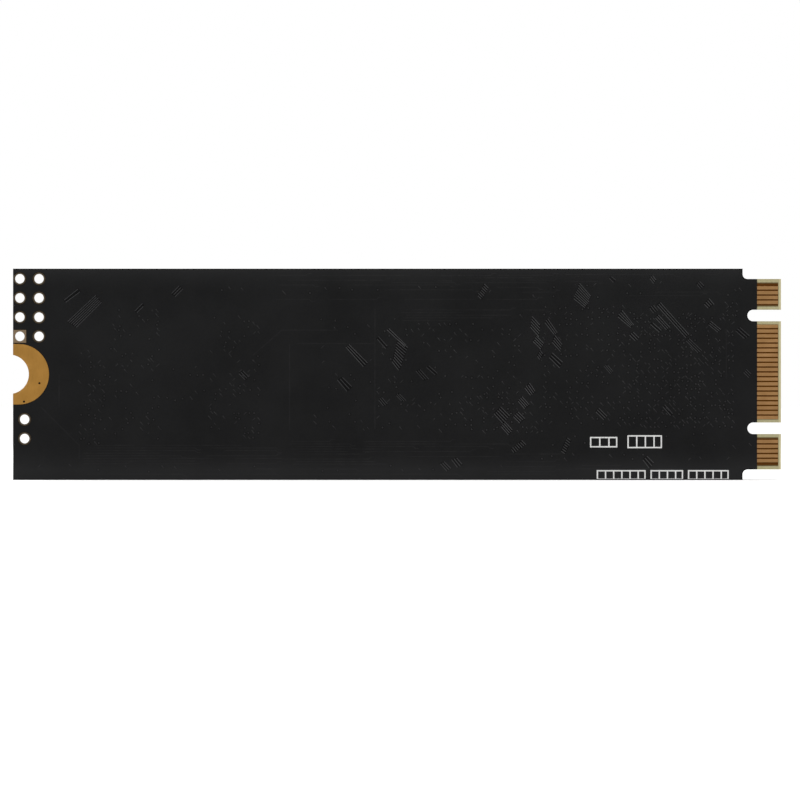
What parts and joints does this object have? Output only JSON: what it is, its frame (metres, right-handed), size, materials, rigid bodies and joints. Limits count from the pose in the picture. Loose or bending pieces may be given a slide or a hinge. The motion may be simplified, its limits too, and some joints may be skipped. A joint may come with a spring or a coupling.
{
  "type": "solid state drive",
  "caption": "M.2 2280 solid state drive card with a B+M edge connector, a half-round screw notch, plated service holes, and flash memory and controller on one side.",
  "frame": {"origin": "middle of the front edge that enters the socket, halfway through the card's thickness", "axes": "+X along the card into the socket, +Z across the card towards the M-key side, +Y out of the component side; the bare face looks to -Y"},
  "size_m": [0.08, 0.0021, 0.022],
  "materials": {
    "laminate": "translucent glass-epoxy",
    "copper": "bare copper under the mask",
    "mask": "satin black solder mask",
    "gold": "gold-plated copper",
    "print": "printed ink",
    "solder": "bright reflowed solder",
    "substrate": "package substrate",
    "mould": "sanded epoxy moulding",
    "silicon": "polished silicon",
    "tin": "matte tin plating",
    "capacitor": "fired dielectric",
    "ceramic": "white alumina",
    "ferrite": "pressed iron powder",
    "quartz": "polished quartz",
    "lid": "plated lid",
    "coat": "resistor overcoat"
  },
  "bodies": {
    "root": {"pcb_laminate": "laminate", "copper_layer_bare_side": "copper", "copper_layer_component_side": "copper", "solder_mask_bare_side": "mask", "solder_mask_component_side": "mask", "edge_contacts_bare_side": "gold", "edge_contacts_component_side": "gold", "screw_pad_bare_side": "gold", "screw_pad_component_side": "gold", "service_hole_barrels": "gold", "jumper_hole_barrels": "gold", "printed_marks_bare_side": "print", "printed_marks_component_side": "print", "solder_lands": "solder", "flash_1_substrate": "substrate", "flash_1_mould": "mould", "flash_1_dies": "silicon", "flash_1_balls": "solder", "flash_2_substrate": "substrate", "flash_2_mould": "mould", "flash_2_dies": "silicon", "flash_2_balls": "solder", "controller_substrate": "substrate", "controller_mould": "mould", "controller_die": "silicon", "controller_balls": "solder", "power_chip_body": "mould", "power_chip_pads": "tin", "power_chip_die": "silicon", "inductor_cores": "ferrite", "inductor_coils": "copper", "inductor_terminals": "tin", "boot_memory_body": "mould", "boot_memory_leads": "tin", "regulator_body": "mould", "regulator_leads": "tin", "crystal_base": "ceramic", "crystal_blank": "quartz", "crystal_lid": "lid", "bulk_capacitor_bodies": "capacitor", "bulk_capacitor_terminals": "tin", "small_capacitor_bodies": "capacitor", "small_capacitor_terminals": "tin", "resistor_bodies": "ceramic", "resistor_terminals": "tin", "resistor_coats": "coat", "fuse_body": "ceramic", "fuse_terminals": "tin"}
  },
  "joints": []
}
